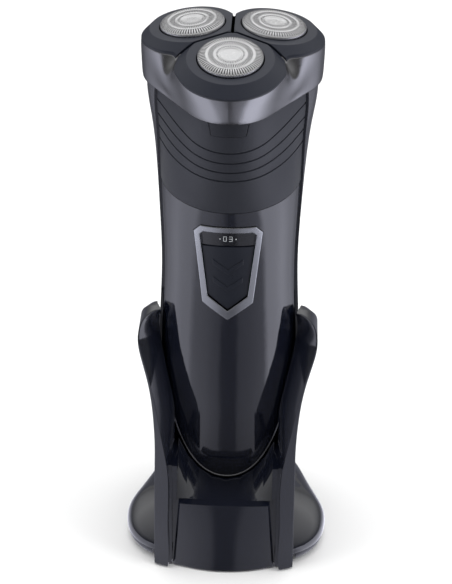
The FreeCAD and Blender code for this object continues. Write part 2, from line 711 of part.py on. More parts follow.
def cutter(angle):
    """Ring of lifted blades on a stem whose slotted foot takes the spindle's blade."""
    socket_depth = (FOIL_CIRCLE_R - SPINDLE_CIRCLE_R) / math.sin(math.radians(FOIL_TILT_DEG))
    disc = ring(9.6, 4.6, -2.4, -1.7)
    spokes = [box(-0.9, 0.9, -5.2, 5.2, -2.4, -1.7)]
    spokes.append(box(-5.2, 5.2, -0.9, 0.9, -2.4, -1.7))
    blades = []
    for k in range(CUTTER_BLADES):
        blade = box(6.4, 9.4, -0.35, 0.35, -1.8, 0.75)
        blade.rotate(vec(0, 0, 0), vec(0, 0, 1), 360.0 * k / CUTTER_BLADES)
        blades.append(blade)
    stem = rod(2.6, vec(0, 0, -socket_depth - 1.4), vec(0, 0, -1.7))
    slot = box(-1.8, 1.8, -1.1, 1.1, -socket_depth - 2, -socket_depth + 2.8)
    return pad_frame(fuse([disc, stem] + spokes + blades).cut(slot), angle)


# ---------------------------------------------------------------- pop-up trimmer on the back
TRIMMER_AXIS_Y, TRIMMER_AXIS_Z = 18.2, 151.0


def trimmer_frame():
    """Hinged flap, flush with the rear shell when folded, that carries the long-hair trimmer."""
    half, low, high = BAY
    form = handle_solid(0.0)
    plate = form.cut(handle_solid(-4.6))
    edge = half - 0.35
    axis = [vec(side * edge, TRIMMER_AXIS_Y, TRIMMER_AXIS_Z) for side in (-1, 1)]
    flap = plate.common(box(-edge, edge, 10, 60, TRIMMER_AXIS_Z, high - 3.2))
    knuckle = rod(3.2, *axis).common(form)
    return flap.fuse(knuckle).removeSplitter().cut(rod(0.8 + RUN_GAP, *axis))


def trimmer_pin():
    half = BAY[0] + 1.5
    return rod(0.8, vec(-half, TRIMMER_AXIS_Y, TRIMMER_AXIS_Z), vec(half, TRIMMER_AXIS_Y, TRIMMER_AXIS_Z))


def comb(half, y0, y1, root_z, tip_z, teeth, width):
    bar = box(-half, half, y0, y1, root_z - 1.6, root_z)
    pitch = (2 * half - width) / (teeth - 1)
    return fuse([bar] + [box(-half + k * pitch, -half + k * pitch + width, y0, y1, root_z - 0.2, tip_z) for k in range(teeth)])


def trimmer_comb():
    top = BAY[2]
    return comb(10.5, 20.2, 20.8, top - 1.6, top - 0.3, 17, 0.6)


def trimmer_cutter():
    top = BAY[2]
    return comb(9.5, 19.5, 20.1, top - 1.55, top - 0.6, 11, 0.8)


def trimmer_slider():
    """Thumb slider on the back: pulled down, it springs the trimmer out."""
    y = table_at(HANDLE, 140.0, 3)
    cap = prism_y([(-5.2, 137.2), (5.2, 137.2), (5.2, 144.6), (-5.2, 144.6)], y + 0.4, y + 1.5)
    ribs = [box(-4.2, 4.2, y + 1.5, y + 2.0, z, z + 0.7) for z in (138.4, 140.2, 142.0)]
    tongue = box(-2.8, 2.8, y - 4.0, y + 0.4, 138.5, 144.0)
    return fuse([cap, tongue] + ribs)


# ---------------------------------------------------------------- charging stand
BASE_OUTLINE = [(0, -33.0), (14, -32.4), (23.5, -30.2), (30.6, -26.0), (35.2, -19.6), (37.0, -11.4), (36.7, -4.6),
                (33.6, 4.6), (29.4, 15.4), (24.6, 26.6), (18.0, 33.4), (9.0, 35.8), (0, 36.0)]


def base_section(scale, z):
    outline = [vec(x * scale, y * scale, z) for x, y in BASE_OUTLINE]
    return closed_spline(outline + [vec(-p.x, p.y, z) for p in reversed(outline[1:-1])])


def base_dome():
    levels = ((BASE_SEAM_Z, 1.0), (7.0, 0.992), (9.0, 0.955), (11.5, 0.86), (14.0, 0.74), (16.5, 0.60))
    return loft([base_section(s, z) for z, s in levels])


# z, outer x, ridge x, ridge y, rear y
ARM = [
    (FOOT_H, 25.6, 20.6, -34.3, 20.0),
    (16.0, 25.6, 20.5, -34.3, 20.0),
    (30.0, 25.6, 20.4, -33.4, 20.0),
    (42.0, 25.6, 20.9, -31.0, 19.5),
    (55.0, 25.9, 23.5, -27.0, 18.0),
    (68.0, 27.4, 26.3, -22.4, 14.5),
    (80.0, 30.6, 29.9, -17.8, 9.0),
    (86.0, 32.2, 31.6, -15.5, 5.5),
    (90.0, 32.4, 31.9, -13.8, 3.0),
    (94.0, 31.4, 31.0, -12.2, 0.5),
    (97.0, 29.0, 28.6, -10.8, -2.0),
    (98.2, 26.3, 25.9, -9.6, -4.0),
]
RIB_INNER_X = 19.1
COLLAR_HALF = 17.6
WIDEST_Z = 82.0                   # where the handle is widest
CRADLE_STATIONS = (22.0, 45.0, 65.0, 82.0, 100.0, 117.0)
SHOULDER_Z = 43.0


def arm():
    """One arm: chamfered outside, a front ridge that sweeps back as it rises, open towards the shaver."""
    wires = []
    for z, outer, ridge, ridge_y, rear_y in ARM:
        lean = 2.0 * (outer - ridge) / 4.8
        corners = [(ridge, ridge_y), (outer, ridge_y + lean), (outer - 0.3, rear_y - 3.0), (outer - 2.5, rear_y)]
        inner_front = min(ridge_y + 12.0, rear_y - 3.5)
        corners += [(RIB_INNER_X, rear_y), (RIB_INNER_X, inner_front)]
        wires.append(polygon_wire([vec(x, y, z) for x, y in corners]))
    blade = loft(wires)
    rib = prism_z([(RIB_INNER_X, -33.0), (25.0, -33.0), (25.0, 10.0), (RIB_INNER_X, 10.0)], FOOT_H, SHOULDER_Z)
    envelope = [polygon_wire([vec(x, y, z) for x, y in ((RIB_INNER_X - 1, ridge_y + 2.2), (outer - 0.6, ridge_y + 2.6),
                (outer - 0.6, 12.0), (RIB_INNER_X - 1, 12.0))]) for z, outer, ridge, ridge_y, rear_y in ARM[:5]]
    return blade.fuse(rib.common(loft(envelope)))


def cradle_space():
    """Space that the shaver needs in the stand, from its seat straight up."""
    wires = []
    for z in CRADLE_STATIONS:
        level = min(z, WIDEST_Z)
        wires.append(plan_section(lambda a, z=level: handle_radius(a, z, CRADLE_GAP), z))
    return loft(wires).common(u_prism(U_REAR[0] + CRADLE_GAP, U_REAR[1] + CRADLE_GAP))


def collar():
    """Sloping deck behind the front panel that rises at the sides to follow the shaver's rounded foot."""
    wires = []
    for x in (-COLLAR_HALF, -14.0, -10.0, -5.0, 0.0, 5.0, 10.0, 14.0, COLLAR_HALF):
        drop = math.sqrt(1 - (x / U_FRONT[0]) ** 2)
        rim_z = U_CENTRE_Z - U_FRONT[1] * drop - 0.6
        w, front = table_at(HANDLE, rim_z, 1), table_at(HANDLE, rim_z, 2)
        rim_y = -front * (1 - abs(x / w) ** HANDLE_ROUNDNESS) ** (1 / HANDLE_ROUNDNESS)
        profile = [(-31.0, 26.0), (-31.0, PANEL_TOP_Z), (rim_y - 2.0, rim_z), (-4.0, rim_z), (-4.0, 26.0)]
        wires.append(polygon_wire([vec(x, y, z) for y, z in profile]))
    return loft(wires, ruled=True)


def stand_housing():
    """Upper moulding of the stand: base dome, cup, two arms and a backrest in one piece."""
    one = arm()
    arms = [one, one.mirror(vec(0, 0, 0), vec(1, 0, 0))]
    cup = prism_x([(-30.0, FOOT_H), (-30.0, 27.0), (-29.0, SHOULDER_Z), (0, SHOULDER_Z), (17.5, 66.0), (21.5, 67.0), (27.5, 46.0),
                   (31.0, 20.0), (31.5, BASE_SEAM_Z), (-22.0, BASE_SEAM_Z), (-22.0, FOOT_H)], -19.4, 19.4)
    back = prism_x([(10.0, 10.0), (10.0, 62.0), (17.5, 66.0), (20.5, 64.0), (24.0, 46.0), (26.0, 20.0), (26.0, 10.0)], -25.0, 25.0)
    solid = base_dome().multiFuse(arms + [cup, back])
    pocket = prism_x([(-60, PANEL_TOP_Z), (-31.0, PANEL_TOP_Z), (-15.0, 26.4), (-4.0, 26.4), (-4.0, 130), (-60, 130)], -17.4, 17.4)
    solid = solid.cut(pocket).fuse(collar()).cut(cradle_space())
    hollow = prism_x([(-27.5, -1), (-27.5, 18.0), (-20.0, CUP_FLOOR_Z - 4), (18.0, CUP_FLOOR_Z - 4), (26.0, 13.0), (26.0, -1)], -16.8, 16.8)
    side_room = loft([base_section(0.9, -1.0), base_section(0.9, 5.0), base_section(0.82, 8.5)])
    rib_keep = box(-26, 26, -40, -22, -1, 20)
    panel_room = box(-18.9, 18.9, -60, -30.05, -5, PANEL_TOP_Z + 0.6)
    solid = solid.cut(hollow).cut(side_room.cut(rib_keep)).cut(INLET_ROOM).cut(panel_room)
    for x in (-1.9, 1.9):
        solid = solid.cut(rod(1.0, vec(x, 0, 10), vec(x, 0, 40)))
    return biggest(solid)


def stand_front_panel():
    """Curved front panel between the ribs, with bevelled sides."""
    wires = []
    for z, half, side_y, mid_y in ((FOOT_H, 18.7, -31.6, -36.0), (PANEL_TOP_Z + 0.5, 16.7, -32.6, -34.1)):
        left, right = vec(-half + 0.7, side_y - 0.7, z), vec(half - 0.7, side_y - 0.7, z)
        edges = [Part.Arc(left, vec(0, mid_y, z), right).toShape()]
        tail = Part.makePolygon([right, vec(half, side_y, z), vec(half, -30.1, z), vec(-half, -30.1, z), vec(-half, side_y, z), left])
        wires.append(Part.Wire(edges + tail.Edges))
    return loft(wires, ruled=True)


def stand_bottom_cover():
    plate = loft([base_section(0.95, FOOT_H), base_section(0.985, 2.6), base_section(0.996, BASE_SEAM_Z - 0.25)])
    inner = loft([base_section(0.90, FOOT_H + 1.6), base_section(0.90, 8.0)])
    posts = [rod(2.0, vec(x, y, FOOT_H), vec(x, y, BOARD_Z)) for x in (-11, 11) for y in (-13, 11)]
    keep = box(-26.6, 26.6, -60, -21.6, -5, 20)
    cover = plate.cut(inner).cut(keep).multiFuse(posts)
    for x, y in COVER_SCREWS:
        cover = cover.cut(rod(1.3, vec(x, y, -5), vec(x, y, 10)))
    for x, y in FEET:
        cover = cover.cut(rod(4.1, vec(x, y, 0), vec(x, y, FOOT_H + 0.6)))
    return cover


BOARD_Z = 12.0
FEET = ((-27.5, -8.0), (27.5, -8.0), (-15.0, 25.0), (15.0, 25.0))
COVER_SCREWS = ((-21.0, 2.0), (21.0, 2.0))


def rubber_feet():
    front = [rod(2.6, vec(x, -27.0, 0), vec(x, -27.0, FOOT_H)) for x in (-22.6, 22.6)]
    return group([rod(4.0, vec(x, y, 0), vec(x, y, FOOT_H + 0.6)) for x, y in FEET] + front)


def cover_screws():
    found = []
    for x, y in COVER_SCREWS:
        found.append(rod(2.2, vec(x, y, FOOT_H - 0.2), vec(x, y, FOOT_H)).fuse(rod(1.25, vec(x, y, FOOT_H), vec(x, y, 7.5))))
    return group(found)


def stand_board():
    return box(-14, 14, -16, 14, BOARD_Z, BOARD_Z + 1.4)


def stand_contacts():
    """Two sprung pins that reach up through the cup's floor to the shaver's charging pads."""
    return mirror_pair(rod(0.9, vec(1.9, 0, 13.4), vec(1.9, 0, 27.3)))


def shaver_contacts():
    return mirror_pair(box(0.9, 2.9, -2.5, 2.5, 27.4, 28.2))


def contact_block():
    return box(-3.5, 3.5, -4.0, 4.0, 28.2, 31.4)


# inlet: a two-pin socket in the back of the stand
INLET_Z, INLET_Y = 14.0, 31.7


def stadium_y(half_gap, radius, y0, y1):
    middle = box(-half_gap, half_gap, y0, y1, INLET_Z - radius, INLET_Z + radius)
    ends = [rod(radius, vec(x, y0, INLET_Z), vec(x, y1, INLET_Z)) for x in (-half_gap, half_gap)]
    return fuse([middle] + ends)


def power_inlet():
    shell = stadium_y(2.6, 4.3, 20.0, INLET_Y).cut(stadium_y(2.6, 3.3, 22.0, INLET_Y + 1))
    for x in (-2.6, 2.6):
        shell = shell.cut(rod(1.15, vec(x, 10, INLET_Z), vec(x, 23, INLET_Z)))
    return shell


def inlet_pins():
    return mirror_pair(rod(1.1, vec(2.6, 17.0, INLET_Z), vec(2.6, 29.5, INLET_Z)))


# ---------------------------------------------------------------- nodes
HANDLE_INSIDE = handle_inside()
CROWN_FULL = crown_solid(0.0)
CROWN_INSET = crown_solid(-1.5)
CROWN_BAND = CROWN_FULL.cut(CROWN_INSET)


INLET_ROOM = stadium_y(2.6, 4.35, 10.0, 60.0)

NODES = {
    "stand_housing": stand_housing,
    "stand_front_panel": stand_front_panel,
    "stand_bottom_cover": stand_bottom_cover,
    "stand_rubber_feet": rubber_feet,
    "stand_screws": cover_screws,
    "stand_circuit_board": stand_board,
    "stand_contact_pins": stand_contacts,
    "stand_power_inlet": power_inlet,
    "stand_inlet_pins": inlet_pins,
    "front_shell": front_shell,
    "grip_cover": grip,
    "rear_shell": rear_shell,
    "shell_screws": shell_screws,
    "switch_bezel": switch_bezel,
    "display_lens": display_lens,
    "display_module": display_module,
    "power_button": power_button,
    "power_switch": tact_switch,
    "circuit_board": circuit_board,
    "board_chips": board_parts,
    "release_button": release_button,
    "battery_cell": battery,
    "battery_tabs": battery_tabs,
    "motor_can": motor,
    "motor_end_cap": motor_end_cap,
    "motor_magnets": motor_magnets,
    "motor_armature": motor_armature,
    "motor_terminals": motor_terminals,
    "motor_shaft": motor_shaft,
    "sun_gear": sun_gear,
    "inner_chassis": chassis,
    "gear_plate": gear_plate,
    "gear_cover": gear_cover,
    "charging_contacts": shaver_contacts,
    "contact_block": contact_block,
    "trimmer_frame": trimmer_frame,
    "trimmer_hinge_pin": trimmer_pin,
    "trimmer_comb": trimmer_comb,
    "trimmer_cutter": trimmer_cutter,
    "trimmer_slider": trimmer_slider,
    "head_base": head_base,
    "head_trim": head_trim,
    "head_hinge_pin": head_hinge_pin,
    "retaining_frame": retaining_frame,
    "retaining_knob": lock_knob,
}
PER_PAD = {
    "pad_": head_pad,
    "foil_": foil,
    "cutter_": cutter,
    "drive_gear_": drive_gear,
    "drive_spindle_": drive_spindle,
}
for prefix, make in PER_PAD.items():
    for pad_angle, pad_name in zip(AXES, PAD_NAMES):
        NODES[prefix + pad_name] = lambda make=make, angle=pad_angle: make(angle)

os.makedirs("parts", exist_ok=True)
for node, make in NODES.items():
    shape = make()
    print(f"{node:22s} solids {len(shape.Solids)}  volume {shape.Volume:10.1f}  valid {shape.isValid()}")
    shape.exportStep(os.path.join("parts", node + ".step"))
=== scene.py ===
import json
import math

import bmesh
import bpy
from mathutils import Matrix, Vector
from mathutils.bvhtree import BVHTree


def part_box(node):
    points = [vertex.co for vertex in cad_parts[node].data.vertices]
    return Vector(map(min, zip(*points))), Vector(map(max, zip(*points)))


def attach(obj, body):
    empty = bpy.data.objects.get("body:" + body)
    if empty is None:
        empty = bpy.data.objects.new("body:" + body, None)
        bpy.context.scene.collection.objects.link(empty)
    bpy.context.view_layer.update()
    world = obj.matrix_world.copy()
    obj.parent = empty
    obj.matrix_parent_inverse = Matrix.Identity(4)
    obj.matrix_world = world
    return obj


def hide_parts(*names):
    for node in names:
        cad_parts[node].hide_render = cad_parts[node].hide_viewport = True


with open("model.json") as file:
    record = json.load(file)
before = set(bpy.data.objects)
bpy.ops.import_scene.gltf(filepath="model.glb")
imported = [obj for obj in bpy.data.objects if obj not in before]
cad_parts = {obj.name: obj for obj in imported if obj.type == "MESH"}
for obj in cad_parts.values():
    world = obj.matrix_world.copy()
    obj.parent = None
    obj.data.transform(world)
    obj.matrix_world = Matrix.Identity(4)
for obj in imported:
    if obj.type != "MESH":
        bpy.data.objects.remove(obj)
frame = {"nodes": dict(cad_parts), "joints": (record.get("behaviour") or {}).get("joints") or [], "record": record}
NODES = frame["nodes"]
JOINTS = {joint["name"]: joint for joint in frame["joints"]}
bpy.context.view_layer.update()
MM = 0.001

# ---------------------------------------------------------------- camera
CAMERA_REACH = 0.885           # horizontal distance from the shaver's axis
CAMERA_HEIGHT = 0.672
CAMERA_AZIMUTH = math.radians(2.0)
CAMERA_DIP = math.radians(32.85)
CAMERA_ROLL = math.radians(0.65)
CAMERA_LENS = 179.4
CAMERA_SENSOR = 36.0
CAMERA_SHIFT = -0.006
CAMERA_NEAR = 0.02
CAMERA_FAR = 50.0


def make_camera():
    data = bpy.data.cameras.new("camera")
    data.lens = CAMERA_LENS
    data.sensor_width = CAMERA_SENSOR
    data.shift_x = CAMERA_SHIFT
    data.clip_start = CAMERA_NEAR
    data.clip_end = CAMERA_FAR
    camera = bpy.data.objects.new("camera", data)
    camera.matrix_world = (
        Matrix.Rotation(CAMERA_AZIMUTH, 4, "Z")
        @ Matrix.Translation((0.0, -CAMERA_REACH, CAMERA_HEIGHT))
        @ Matrix.Rotation(math.pi / 2 - CAMERA_DIP, 4, "X")
        @ Matrix.Rotation(CAMERA_ROLL, 4, "Z")
    )
    bpy.context.scene.collection.objects.link(camera)
    bpy.context.scene.camera = camera


make_camera()

# ---------------------------------------------------------------- material helpers
# the sockets of a Mix node that mixes colours
MIX_FACTOR, MIX_FIRST, MIX_SECOND, MIX_RESULT = 0, 6, 7, 2
BEVEL_SAMPLES = 6
BROAD_SCALE = 35.0             # slow unevenness of colour and gloss
BROAD_DETAIL = 3.0
GRAIN_DETAIL = 2.0
GRAIN_ROUGH = 0.6
GRAIN_DEPTH = 0.05 * MM
GRAIN_SHARE = 0.5              # how much the grain counts in the gloss beside the slow unevenness
WEAR_SPAN = (0.45, 1.05)       # the range that the two together keep to
GLOSS_SPAN = (0.8, 1.25)       # least and most roughness, as a factor


class Graph:
    """A material's node tree, with short calls for the nodes that these materials share."""

    def __init__(self, name):
        self.material = bpy.data.materials.new(name)
        self.material.use_nodes = True
        self.tree = self.material.node_tree
        self.shader = self.tree.nodes["Principled BSDF"]
        self.coords = self.tree.nodes.new("ShaderNodeTexCoord").outputs["Object"]

    def node(self, kind, **settings):
        made = self.tree.nodes.new(kind)
        for key, value in settings.items():
            setattr(made, key, value)
        return made

    def link(self, source, target):
        self.tree.links.new(source, target)

    def noise(self, scale, detail=2.0, rough=0.5, stretch=None):
        made = self.node("ShaderNodeTexNoise")
        made.inputs["Scale"].default_value = scale
        made.inputs["Detail"].default_value = detail
        made.inputs["Roughness"].default_value = rough
        vector = self.coords
        if stretch:
            mapping = self.node("ShaderNodeMapping")
            mapping.inputs["Scale"].default_value = stretch
            self.link(vector, mapping.inputs["Vector"])
            vector = mapping.outputs["Vector"]
        self.link(vector, made.inputs["Vector"])
        return made.outputs["Fac"]

    def ramp(self, value, low, high, start=0.3, end=0.7):
        made = self.node("ShaderNodeMapRange")
        made.inputs["From Min"].default_value = start
        made.inputs["From Max"].default_value = end
        made.inputs["To Min"].default_value = low
        made.inputs["To Max"].default_value = high
        self.link(value, made.inputs["Value"])
        return made.outputs["Result"]

    def mix(self, factor, first, second):
        made = self.node("ShaderNodeMix", data_type="RGBA")
        for place, value in ((MIX_FIRST, first), (MIX_SECOND, second)):
            socket = made.inputs[place]
            if isinstance(value, tuple):
                socket.default_value = (*value, 1.0)
            else:
                self.link(value, socket)
        self.link(factor, made.inputs[MIX_FACTOR])
        return made.outputs[MIX_RESULT]

    def bump(self, height, strength, distance, normal=None):
        made = self.node("ShaderNodeBump")
        made.inputs["Strength"].default_value = strength
        made.inputs["Distance"].default_value = distance
        self.link(height, made.inputs["Height"])
        if normal:
            self.link(normal, made.inputs["Normal"])
        return made.outputs["Normal"]

    def rounded(self, radius):
        """Normal that softens sharp edges, as a moulded or plated edge is softened."""
        made = self.node("ShaderNodeBevel", samples=BEVEL_SAMPLES)
        made.inputs["Radius"].default_value = radius
        return made.outputs["Normal"]

    def use(self, name, source):
        self.link(source, self.shader.inputs[name])

    def fixed(self, **values):
        for key, value in values.items():
            self.shader.inputs[key.replace("_", " ")].default_value = value


def tint(color, factor):
    return tuple(channel * factor for channel in color)


def surface(name, color, rough, spread=0.25, grain=0.0, grain_scale=900.0, edge=0.25, metal=0.0,
            coat=0.0, coat_rough=0.05, stretch=None, ior=1.5):
    """Moulded, painted or plated surface: uneven colour and gloss, grain and softened edges."""
    graph = Graph(name)
    broad = graph.noise(BROAD_SCALE, BROAD_DETAIL)
    fine = graph.noise(grain_scale, GRAIN_DETAIL, GRAIN_ROUGH, stretch)
    darker, lighter = tint(color, 1 - spread * 0.5), tint(color, 1 + spread * 0.5)
    graph.use("Base Color", graph.mix(broad, darker, lighter))
    worn = graph.node("ShaderNodeMath", operation="MULTIPLY_ADD")
    worn.inputs[1].default_value = GRAIN_SHARE
    graph.link(fine, worn.inputs[0])
    graph.link(broad, worn.inputs[2])
    least, most = (rough * factor for factor in GLOSS_SPAN)
    graph.use("Roughness", graph.ramp(worn.outputs[0], least, most, *WEAR_SPAN))
    normal = graph.rounded(edge * MM) if edge else None
    if grain:
        normal = graph.bump(fine, grain, GRAIN_DEPTH, normal)
    if normal:
        graph.use("Normal", normal)
    graph.fixed(Metallic=metal, IOR=ior, Coat_Weight=coat, Coat_Roughness=coat_rough)
    return graph


# ---------------------------------------------------------------- finishes
def gloss_black():
    return surface("gloss_black", (0.0050, 0.0062, 0.0125), 0.09, edge=0.35, coat=1.0,
                   coat_rough=0.03, grain=0.02, grain_scale=500.0, ior=1.55).material


def matt_black():
    return surface("matt_black", (0.011, 0.0128, 0.020), 0.42, grain=0.35, grain_scale=2600.0,
                   edge=0.3).material


def satin_black():
    return surface("satin_black", (0.009, 0.0115, 0.020), 0.3, grain=0.2, grain_scale=2600.0,
                   edge=0.3).material


def soft_rubber():
    graph = surface("soft_rubber", (0.0125, 0.0145, 0.023), 0.46, grain=0.5, grain_scale=3200.0,
                    edge=0.25)
    graph.fixed(Sheen_Weight=0.12, Sheen_Roughness=0.4)
    return graph.material


def pad_plastic():
    return surface("pad_plastic", (0.012, 0.0142, 0.023), 0.4, grain=0.3, grain_scale=2800.0,
                   edge=0.35).material


def foot_rubber():
    return surface("foot_rubber", (0.02, 0.02, 0.02), 0.8, grain=0.6, grain_scale=1500.0).material


def dark_chrome():
    return surface("dark_chrome", (0.30, 0.30, 0.31), 0.2, spread=0.08, grain=0.04, metal=1.0,
                   edge=0.6, grain_scale=420.0, stretch=(1.0, 1.0, 0.05)).material


def silver_plate():
    return surface("silver_plate", (0.50, 0.51, 0.53), 0.24, spread=0.06, grain=0.05, metal=1.0,
                   edge=0.5, grain_scale=1200.0).material


def foil_steel():
    return surface("foil_steel", (0.78, 0.78, 0.79), 0.26, spread=0.06, grain=0.12, metal=1.0,
                   edge=0.12, grain_scale=2200.0).material


def ground_steel():
    return surface("ground_steel", (0.56, 0.56, 0.57), 0.3, spread=0.1, grain=0.3, metal=1.0,
                   edge=0.1, grain_scale=700.0, stretch=(1.0, 1.0, 0.08)).material


def plated_brass():
    return surface("plated_brass", (0.74, 0.56, 0.25), 0.28, spread=0.15, grain=0.1, metal=1.0,
                   edge=0.1).material


def zinc_steel():
    return surface("zinc_steel", (0.5, 0.5, 0.52), 0.34, spread=0.25, grain=0.15, metal=1.0,
                   grain_scale=300.0).material


def ferrite():
    return surface("ferrite", (0.05, 0.05, 0.052), 0.7, grain=0.6, grain_scale=1400.0).material


WIRE_SCALE = 500.0
WIRE_BUMP = 0.7
WIRE_DEPTH = 0.15 * MM


def winding():
    """Enamelled copper wire, laid in fine turns along the armature."""
    graph = surface("winding", (0.55, 0.22, 0.09), 0.35, metal=0.8, edge=0.1)
    wave = graph.node("ShaderNodeTexWave", bands_direction="DIAGONAL")
    wave.inputs["Scale"].default_value = WIRE_SCALE
    graph.link(graph.coords, wave.inputs["Vector"])
    graph.use("Normal", graph.bump(wave.outputs["Fac"], WIRE_BUMP, WIRE_DEPTH))
    return graph.material


def acetal():
    return surface("acetal", (0.74, 0.73, 0.68), 0.4, spread=0.06, grain=0.15, edge=0.1).material


def frame_plastic():
    return surface("frame_plastic", (0.07, 0.07, 0.075), 0.5, grain=0.3, edge=0.2).material


def chip_epoxy():
    return surface("chip_epoxy", (0.015, 0.015, 0.016), 0.55, grain=0.4, edge=0.08).material


TRACK_SCALE = 320.0
TRACK_WIDTH = 0.03
TRACK_BUMP = 0.4
TRACK_DEPTH = 0.05 * MM
MASK_EDGE = 0.1 * MM
MASK_COLOR = (0.008, 0.075, 0.03)
TRACK_COLOR = (0.02, 0.16, 0.07)


def board():
    """Solder mask over copper tracks."""
    graph = Graph("board")
    brick = graph.node("ShaderNodeTexBrick")
    brick.inputs["Scale"].default_value = TRACK_SCALE
    brick.inputs["Mortar Size"].default_value = TRACK_WIDTH
    mapping = graph.node("ShaderNodeMapping")
    mapping.inputs["Rotation"].default_value = (math.radians(90), 0.0, 0.0)
    graph.link(graph.coords, mapping.inputs["Vector"])
    graph.link(mapping.outputs["Vector"], brick.inputs["Vector"])
    tracks = brick.outputs["Fac"]
    graph.use("Base Color", graph.mix(tracks, MASK_COLOR, TRACK_COLOR))
    graph.use("Roughness", graph.ramp(graph.noise(400.0), 0.28, 0.42))
    graph.use("Normal", graph.bump(tracks, TRACK_BUMP, TRACK_DEPTH, graph.rounded(MASK_EDGE)))
    return graph.material


def battery_sleeve():
    """Glossy shrink sleeve with faint wrinkles along the cell."""
    return surface("battery_sleeve", (0.05, 0.16, 0.34), 0.28, spread=0.2, grain=0.3, coat=0.4,
                   grain_scale=260.0, stretch=(1.0, 1.0, 0.1)).material


def smoked_lens():
    return surface("smoked_lens", (0.006, 0.0065, 0.009), 0.06, grain=0.01, edge=0.2, coat=1.0,
                   coat_rough=0.02).material


def lit_mark():
    """Faintly and unevenly lit figures of the display."""
    graph = surface("lit_mark", (0.35, 0.36, 0.38), 0.5, edge=0.0)
    glow = graph.ramp(graph.noise(2500.0), 0.12, 0.3)
    graph.use("Emission Strength", glow)
    graph.fixed(Emission_Color=(0.8, 0.84, 0.88, 1.0))
    return graph.material


def painted_slot_shadow():
    """Painted shade: a dark colour on the floor and walls of the foils' slots, standing for the shade inside them.
    """
    return surface("painted_slot_shadow", (0.03, 0.03, 0.033), 0.6, grain=0.3, edge=0.0).material


FINISHES = {
    "gloss_black": gloss_black, "matt_black": matt_black, "button_black": satin_black,
    "soft_black": soft_rubber, "pad_black": pad_plastic, "foot_rubber": foot_rubber,
    "dark_chrome": dark_chrome, "silver_bezel": silver_plate, "smoked_lens": smoked_lens,
    "foil_steel": foil_steel, "blade_steel": ground_steel, "shaft_steel": ground_steel,
    "motor_steel": zinc_steel, "magnet": ferrite, "armature": winding,
    "contact_brass": plated_brass, "gear_white": acetal, "frame_grey": frame_plastic,
    "board_green": board, "chip_black": chip_epoxy, "battery_wrap": battery_sleeve,
}


def finish_nodes():
    """Gives each carried-over node the finish of its material slot."""
    slot_of = {part["node"]: part["material_slot"] for part in frame["record"]["subparts"]}
    made = {make: make() for make in dict.fromkeys(FINISHES.values())}
    for name, node in NODES.items():
        node.data.materials.clear()
        node.data.materials.append(made[FINISHES[slot_of[name]]])
    return {slot: made[make] for slot, make in FINISHES.items()}


LOOKS = finish_nodes()
# painted shade for the foils' slots, dark where shade falls inside them
PAINTED_SLOT_SHADE = painted_slot_shadow()


# ---------------------------------------------------------------- pieces
def new_piece(name, mesh, materials, body):
    """Links a finished bmesh as a piece that rides on a body."""
    data = bpy.data.meshes.new(name)
    mesh.to_mesh(data)
    mesh.free()
    for material in materials:
        data.materials.append(material)
    data.polygons.foreach_set("use_smooth", [True] * len(data.polygons))
    piece = bpy.data.objects.new(name, data)
    bpy.context.scene.collection.objects.link(piece)
    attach(piece, body)
    return piece


# radius and height over the pad, in mm, of the foil's outside, from the rim inwards
FOIL_OUTSIDE = [
    (11.3, -1.7), (11.3, -0.5), (11.3, 0.45), (11.2, 0.85), (10.95, 1.2), (10.6, 1.5),
    (10.15, 1.72), (9.6, 1.86), (9.0, 1.9), (8.6, 1.84), (8.35, 1.64), (8.05, 1.6), (7.8, 1.68),
    (7.6, 1.86), (7.0, 1.92), (6.4, 1.92), (5.9, 1.9), (5.7, 1.82), (5.5, 1.7), (5.25, 1.68),
    (5.05, 1.74), (4.85, 1.9), (4.3, 1.92), (3.85, 1.86), (3.65, 1.66), (3.3, 1.56), (1.8, 1.6),
    (0.6, 1.62),
]
# inner and outer radius in mm of each ring of slots, and how many times wider its slots are
SLOT_TRACKS = ((8.65, 10.8, 1), (5.95, 7.5, 1), (4.1, 4.8, 2))
SLOTS = 72
SLOT_COLUMNS = 5               # columns of faces from one slot to the next
SLOT_OPEN = 2                  # of which this many are open
SLOT_DEPTH = 0.3 * MM


def in_slot(radius, column):
    """True where a radial slot sinks into the foil; the innermost ring has half as many."""
    for low, high, spacing in SLOT_TRACKS:
        if low <= radius <= high:
            return column % (SLOT_COLUMNS * spacing) < SLOT_OPEN * spacing
    return False


def foil_frame(name):
    """Places a foil built about the origin onto its pad, from its cutter's joint."""
    joint = JOINTS["cutter_spin_" + name]
    normal = Vector(joint["axis"]).normalized()
    outward = Vector((normal.x, normal.y, 0.0)).normalized()
    across = normal.cross(outward).normalized()
    along = across.cross(normal)
    turn = Matrix((along, across, normal)).transposed().to_4x4()
    return Matrix.Translation(Vector(joint["pos_m"])) @ turn


